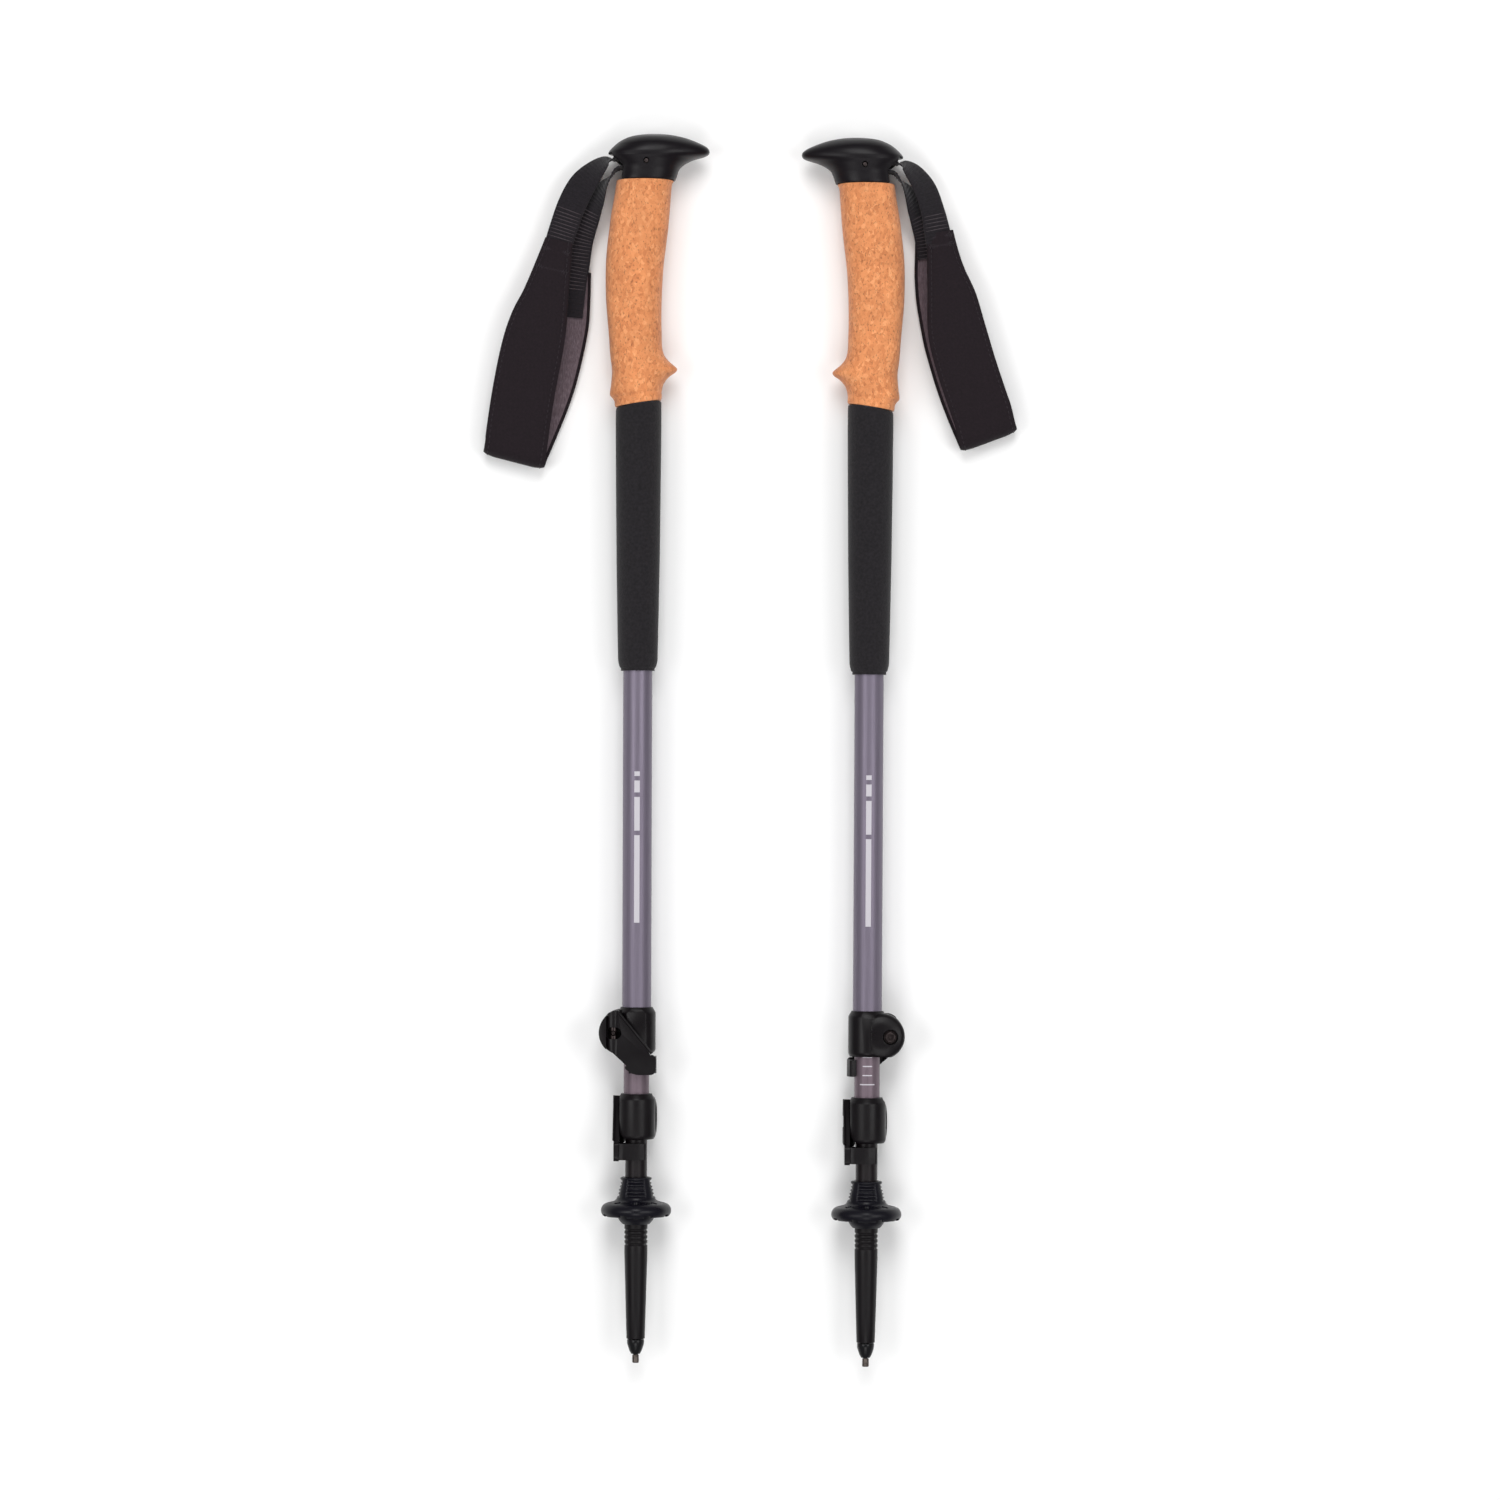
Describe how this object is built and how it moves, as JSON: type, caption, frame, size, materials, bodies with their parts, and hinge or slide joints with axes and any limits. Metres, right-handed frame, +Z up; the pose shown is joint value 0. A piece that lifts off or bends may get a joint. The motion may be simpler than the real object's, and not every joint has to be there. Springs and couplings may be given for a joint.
{
  "type": "trekking pole pair",
  "caption": "Pair of telescoping trekking poles with cork grips, foam sleeves, lever clamps, folded wrist straps, baskets and carbide tips, lying side by side.",
  "frame": {"origin": "centre of the pair's footprint, on the surface it lies on", "axes": "+Y from the tips to the heads, +X from the left pole to the right one, +Z up"},
  "size_m": [0.2946, 0.678, 0.0403],
  "materials": {
    "black_plastic": "satin moulded nylon",
    "gloss_ferrule": "glossy black cup",
    "cork": "natural cork, fine grain",
    "foam": "matte closed-cell foam",
    "upper_tube": "satin grey-violet anodised",
    "middle_tube": "satin mauve-grey anodised",
    "lower_tube": "near-black anodised",
    "steel": "plain steel",
    "carbide": "ground tungsten carbide",
    "webbing": "black woven polyester",
    "lining": "brushed lilac-grey lining"
  },
  "bodies": {
    "left_upper_section": {"left_grip_head": "black_plastic", "left_strap_wedge": "black_plastic", "left_strap_pin": "steel", "left_cork_grip": "cork", "left_grip_core": "black_plastic", "left_foam_sleeve": "foam", "left_upper_shaft": "upper_tube", "left_upper_lock_collar": "black_plastic", "left_upper_lock_washer": "steel", "left_upper_lock_pivot_pin": "steel"},
    "left_upper_lever": {"left_upper_lock_lever": "black_plastic"},
    "left_upper_screw": {"left_upper_lock_screw": "steel"},
    "left_middle_section": {"left_middle_shaft": "middle_tube", "left_middle_shaft_bush": "black_plastic", "left_lower_lock_collar": "black_plastic", "left_lower_lock_washer": "steel", "left_lower_lock_pivot_pin": "steel"},
    "left_lower_lever": {"left_lower_lock_lever": "black_plastic"},
    "left_lower_screw": {"left_lower_lock_screw": "steel"},
    "left_lower_section": {"left_lower_shaft": "lower_tube", "left_lower_shaft_bush": "black_plastic", "left_tip_body": "black_plastic", "left_tip_ferrule": "gloss_ferrule", "left_carbide_tip": "carbide"},
    "left_basket": {"left_basket": "black_plastic"},
    "left_strap": {"left_strap_upper_web": "webbing", "left_strap_lower_web": "webbing", "left_strap_band": "webbing", "left_strap_lining": "lining"},
    "right_upper_section": {"right_grip_head": "black_plastic", "right_strap_wedge": "black_plastic", "right_strap_pin": "steel", "right_cork_grip": "cork", "right_grip_core": "black_plastic", "right_foam_sleeve": "foam", "right_upper_shaft": "upper_tube", "right_upper_lock_collar": "black_plastic", "right_upper_lock_washer": "steel", "right_upper_lock_pivot_pin": "steel"},
    "right_upper_lever": {"right_upper_lock_lever": "black_plastic"},
    "right_upper_screw": {"right_upper_lock_screw": "steel"},
    "right_middle_section": {"right_middle_shaft": "middle_tube", "right_middle_shaft_bush": "black_plastic", "right_lower_lock_collar": "black_plastic", "right_lower_lock_washer": "steel", "right_lower_lock_pivot_pin": "steel"},
    "right_lower_lever": {"right_lower_lock_lever": "black_plastic"},
    "right_lower_screw": {"right_lower_lock_screw": "steel"},
    "right_lower_section": {"right_lower_shaft": "lower_tube", "right_lower_shaft_bush": "black_plastic", "right_tip_body": "black_plastic", "right_tip_ferrule": "gloss_ferrule", "right_carbide_tip": "carbide"},
    "right_basket": {"right_basket": "black_plastic"},
    "right_strap": {"right_strap_upper_web": "webbing", "right_strap_lower_web": "webbing", "right_strap_band": "webbing", "right_strap_lining": "lining"}
  },
  "joints": [
    {"name": "left_middle_slide", "type": "slide", "parent": "left_upper_section", "child": "left_middle_section", "axis": [-0.0031, -1, 0.0067], "range_m": [-0.009, 0.36]},
    {"name": "left_lower_slide", "type": "slide", "parent": "left_middle_section", "child": "left_lower_section", "axis": [-0.0031, -1, 0.0067], "range_m": [-0.0075, 0.36]},
    {"name": "left_upper_lever_hinge", "type": "hinge", "parent": "left_upper_section", "child": "left_upper_lever", "pos_m": [-0.07547, -0.15518, 0.02989], "axis": [-0.0031, -1, 0.0067], "range_deg": [0, 100]},
    {"name": "left_upper_screw_turn", "type": "hinge", "parent": "left_upper_section", "child": "left_upper_screw", "pos_m": [-0.07547, -0.15524, 0.02039], "axis": [0, -0.0067, -1], "range_deg": [-180, 180]},
    {"name": "left_lower_lever_hinge", "type": "hinge", "parent": "left_middle_section", "child": "left_lower_lever", "pos_m": [-0.07262, -0.20294, 0.00821], "axis": [-0.0031, -1, 0.0067], "range_deg": [0, 100]},
    {"name": "left_lower_screw_turn", "type": "hinge", "parent": "left_middle_section", "child": "left_lower_screw", "pos_m": [-0.06312, -0.20296, 0.00821], "axis": [1, -0.0031, 0], "range_deg": [-180, 180]},
    {"name": "left_basket_turn", "type": "hinge", "parent": "left_lower_section", "child": "left_basket", "pos_m": [-0.06327, -0.25278, 0.02104], "axis": [0.0031, 1, -0.0067], "range_deg": [-180, 180]},
    {"name": "left_strap_swing", "type": "hinge", "parent": "left_upper_section", "child": "left_strap", "pos_m": [-0.07447, 0.32245, 0.01719], "axis": [0, -0.0067, -1], "range_deg": [-5, 20]},
    {"name": "right_middle_slide", "type": "slide", "parent": "right_upper_section", "child": "right_middle_section", "axis": [-0.0056, -1, 0.0067], "range_m": [-0.009, 0.36]},
    {"name": "right_lower_slide", "type": "slide", "parent": "right_middle_section", "child": "right_lower_section", "axis": [-0.0056, -1, 0.0067], "range_m": [-0.0075, 0.36]},
    {"name": "right_upper_lever_hinge", "type": "hinge", "parent": "right_upper_section", "child": "right_upper_lever", "pos_m": [0.07637, -0.15762, 0.01089], "axis": [-0.0056, -1, 0.0067], "range_deg": [0, 100]},
    {"name": "right_upper_screw_turn", "type": "hinge", "parent": "right_upper_section", "child": "right_upper_screw", "pos_m": [0.07637, -0.15755, 0.02039], "axis": [0, 0.0067, 1], "range_deg": [-180, 180]},
    {"name": "right_lower_lever_hinge", "type": "hinge", "parent": "right_middle_section", "child": "right_lower_lever", "pos_m": [0.05411, -0.20511, 0.00821], "axis": [-0.0056, -1, 0.0067], "range_deg": [0, 100]},
    {"name": "right_lower_screw_turn", "type": "hinge", "parent": "right_middle_section", "child": "right_lower_screw", "pos_m": [0.06361, -0.20517, 0.00821], "axis": [1, -0.0056, 0], "range_deg": [-180, 180]},
    {"name": "right_basket_turn", "type": "hinge", "parent": "right_lower_section", "child": "right_basket", "pos_m": [0.06333, -0.25498, 0.02104], "axis": [0.0056, 1, -0.0067], "range_deg": [-180, 180]},
    {"name": "right_strap_swing", "type": "hinge", "parent": "right_upper_section", "child": "right_strap", "pos_m": [0.07954, 0.32012, 0.01719], "axis": [0, 0.0067, 1], "range_deg": [-5, 20]},
    {"name": "poles_apart", "type": "slide", "parent": "left_upper_section", "child": "right_upper_section", "axis": [1, 0, 0], "range_m": [0, 0.2]}
  ]
}
